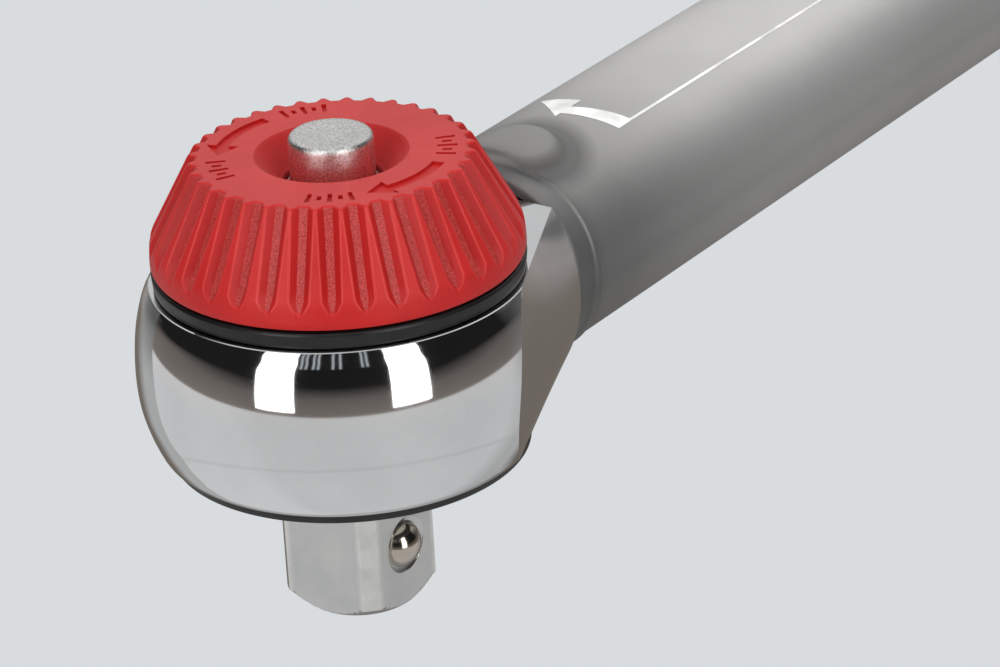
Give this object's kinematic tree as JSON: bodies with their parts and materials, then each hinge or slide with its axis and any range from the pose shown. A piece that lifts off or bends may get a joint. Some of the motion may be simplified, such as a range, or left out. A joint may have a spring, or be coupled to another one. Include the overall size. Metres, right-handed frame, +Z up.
{
  "type": "click torque wrench with ratchet head",
  "caption": "Click-type torque wrench with a reversible ratchet head, square drive, push-button socket release and twist grip.",
  "frame": {"origin": "centre of the flat end of the square drive", "axes": "+X along the tube towards the grip, +Z up the drive axis towards the dial, so the square points down; +Y completes the right-handed frame"},
  "size_m": [0.4204, 0.0448, 0.0539],
  "materials": {
    "chrome": "polished",
    "satin_steel": "satin",
    "bright_steel": "bright",
    "blasted_steel": "bead blasted",
    "spring_steel": "dull",
    "black_oxide": "satin black",
    "red_plastic": "satin",
    "tube_finish": "satin",
    "brass": "turned",
    "black_plastic": "matt",
    "soft_grip": "matt",
    "scale_white": "matt",
    "lens_clear": "clear"
  },
  "bodies": {
    "handle": {"tube": "tube_finish", "pivot_pin": "bright_steel", "window_lens": "lens_clear", "window_frame": "black_plastic", "thread_nut": "brass"},
    "head": {"head_housing": "chrome", "lower_cover": "black_oxide", "cover_plate": "black_oxide", "upper_washer": "brass", "lower_washer": "brass"},
    "drive": {"drive_body": "satin_steel", "pawl_pin_left": "spring_steel", "pawl_pin_right": "spring_steel"},
    "left_pawl": {"pawl_left": "bright_steel"},
    "right_pawl": {"pawl_right": "bright_steel"},
    "dial": {"selector_dial": "red_plastic", "shift_fork": "spring_steel", "dial_clip": "bright_steel"},
    "button": {"release_button": "blasted_steel", "release_pin": "bright_steel", "release_spring": "spring_steel"},
    "ball": {"lock_ball": "chrome"},
    "click": {"click_roller": "bright_steel", "plunger": "satin_steel"},
    "carriage": {"spring_seat": "satin_steel", "scale_sleeve": "scale_white", "main_spring": "spring_steel"},
    "grip": {"grip_core": "black_plastic", "grip_ring": "red_plastic", "grip_cover": "soft_grip", "end_cap": "black_plastic", "adjusting_screw": "satin_steel"},
    "lock": {"lock_knob": "red_plastic", "lock_pin": "bright_steel"}
  },
  "joints": [
    {"name": "head_tilt", "type": "hinge", "parent": "handle", "child": "head", "pos_m": [0.0325, 0, 0.0287], "axis": [0, 0, 1], "range_deg": [-1.2, 0], "stiffness_Nm_per_rad": 120},
    {"name": "click_slide", "type": "slide", "parent": "handle", "child": "click", "axis": [1, 0, 0], "range_m": [0, 0.0004], "deforming": ["main_spring"]},
    {"name": "drive_spin", "type": "hinge", "parent": "head", "child": "drive", "pos_m": [0, 0, 0.0287], "axis": [0, 0, 1], "continuous": true},
    {"name": "dial_turn", "type": "hinge", "parent": "drive", "child": "dial", "pos_m": [0, 0, 0.045], "axis": [0, 0, 1], "range_deg": [0, 33]},
    {"name": "left_pawl_swing", "type": "hinge", "parent": "drive", "child": "left_pawl", "pos_m": [-0.01081, 0.00393, 0.0285], "axis": [0, 0, 1], "range_deg": [-11, 0]},
    {"name": "right_pawl_swing", "type": "hinge", "parent": "drive", "child": "right_pawl", "pos_m": [-0.01081, -0.00393, 0.0285], "axis": [0, 0, 1], "range_deg": [-11, 0]},
    {"name": "button_press", "type": "slide", "parent": "drive", "child": "button", "axis": [0, 0, -1], "range_m": [0, 0.003], "stiffness_N_per_m": 800, "springref_m": -0.002, "deforming": ["release_spring"]},
    {"name": "ball_retract", "type": "slide", "parent": "drive", "child": "ball", "axis": [0, 1, 0], "range_m": [0, 0.0012]},
    {"name": "setting_travel", "type": "slide", "parent": "handle", "child": "carriage", "axis": [1, 0, 0], "range_m": [-0.006, 0.006], "deforming": ["main_spring"]},
    {"name": "grip_turn", "type": "hinge", "parent": "carriage", "child": "grip", "pos_m": [0.3, 0, 0.0287], "axis": [1, 0, 0], "range_deg": [-1080, 1080]},
    {"name": "lock_pull", "type": "slide", "parent": "grip", "child": "lock", "axis": [1, 0, 0], "range_m": [0, 0.004]}
  ],
  "couplings": [
    {"joint": "click_slide", "follows": "head_tilt", "m_per_rad": -0.0167},
    {"joint": "left_pawl_swing", "follows": "dial_turn", "ratio": -0.33333},
    {"joint": "right_pawl_swing", "follows": "dial_turn", "ratio": -0.33333},
    {"joint": "ball_retract", "follows": "button_press", "ratio": 0.4},
    {"joint": "setting_travel", "follows": "grip_turn", "m_per_rad": -0.00031831}
  ]
}
